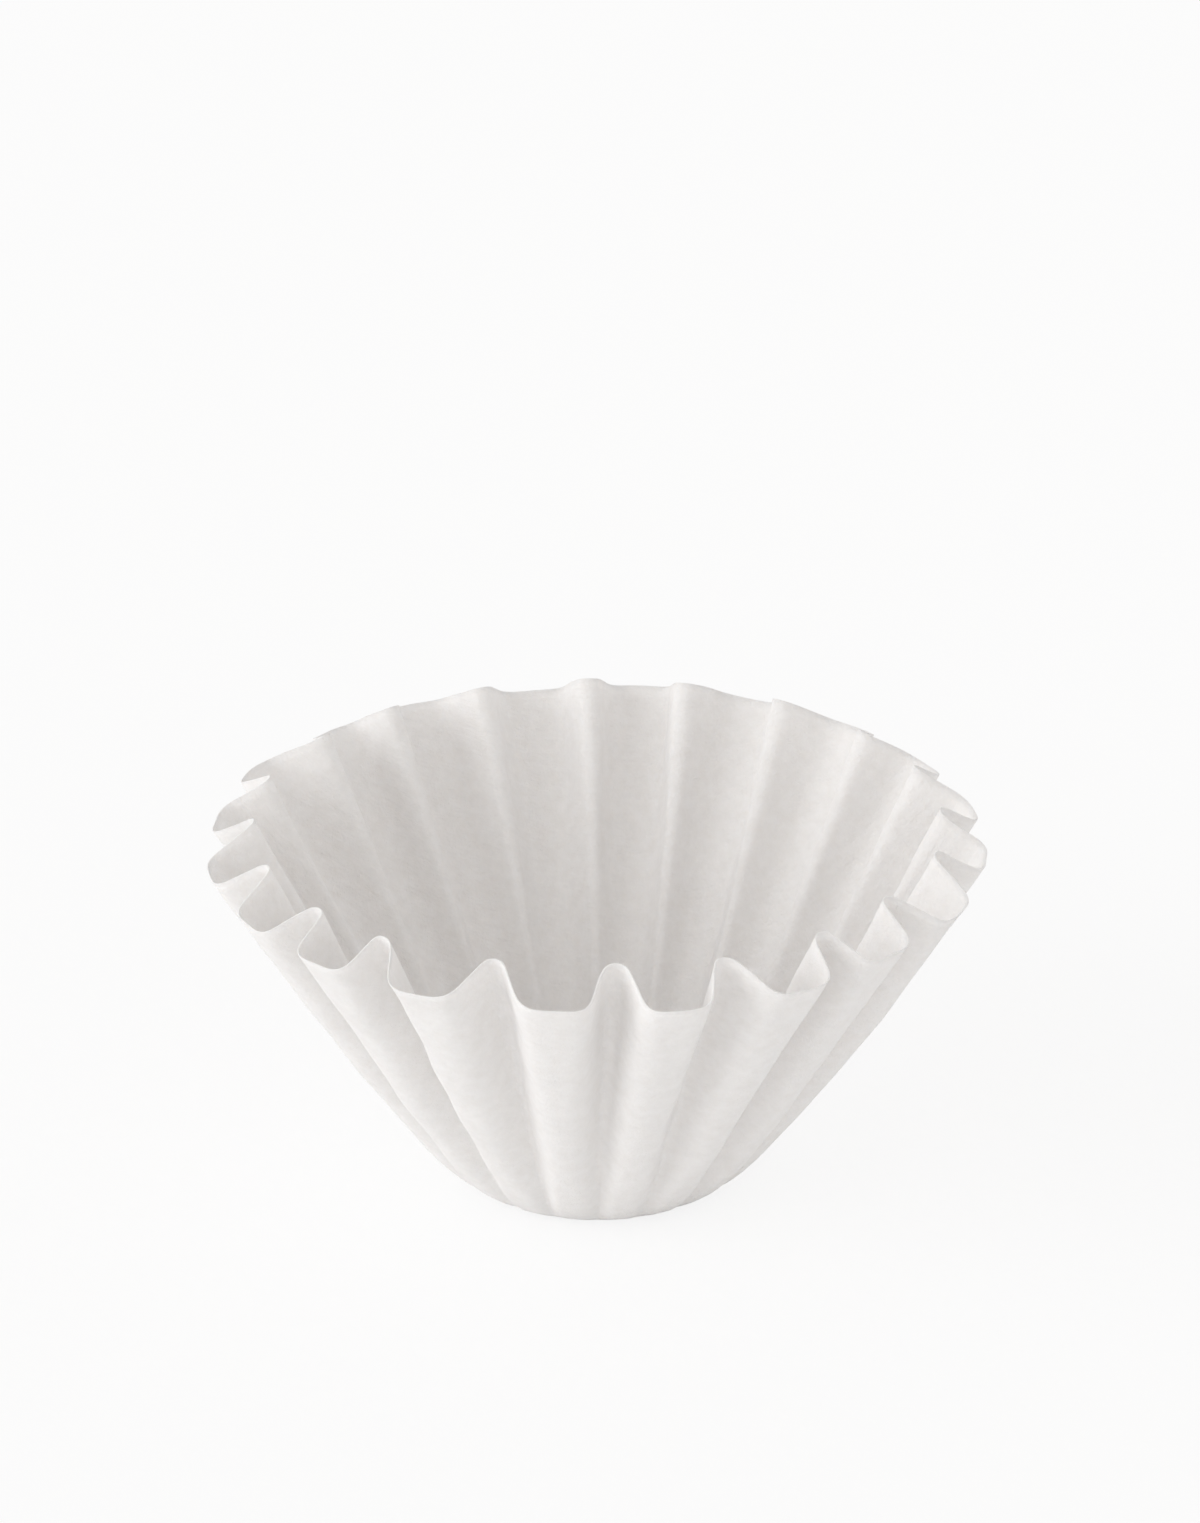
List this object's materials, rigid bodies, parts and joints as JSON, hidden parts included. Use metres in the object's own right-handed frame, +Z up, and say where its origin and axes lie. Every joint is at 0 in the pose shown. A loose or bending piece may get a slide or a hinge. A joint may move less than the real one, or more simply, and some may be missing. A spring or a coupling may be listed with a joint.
{
  "type": "paper coffee filter",
  "caption": "White paper coffee filter: a round sheet pressed into a cup with a flat base and a flaring, pleated wall, to hold ground coffee in a flat-bottomed dripper.",
  "frame": {"origin": "centre of the flat base's underside, where the filter stands", "axes": "+Z up the cup's axis to its mouth; a valley of the pleats lies on each of the X and Y axes"},
  "size_m": [0.1244, 0.1244, 0.0618],
  "materials": {
    "paper": "matte white bleached paper, soft and slightly rough"
  },
  "bodies": {
    "root": {"filter_paper": "paper"}
  },
  "joints": []
}
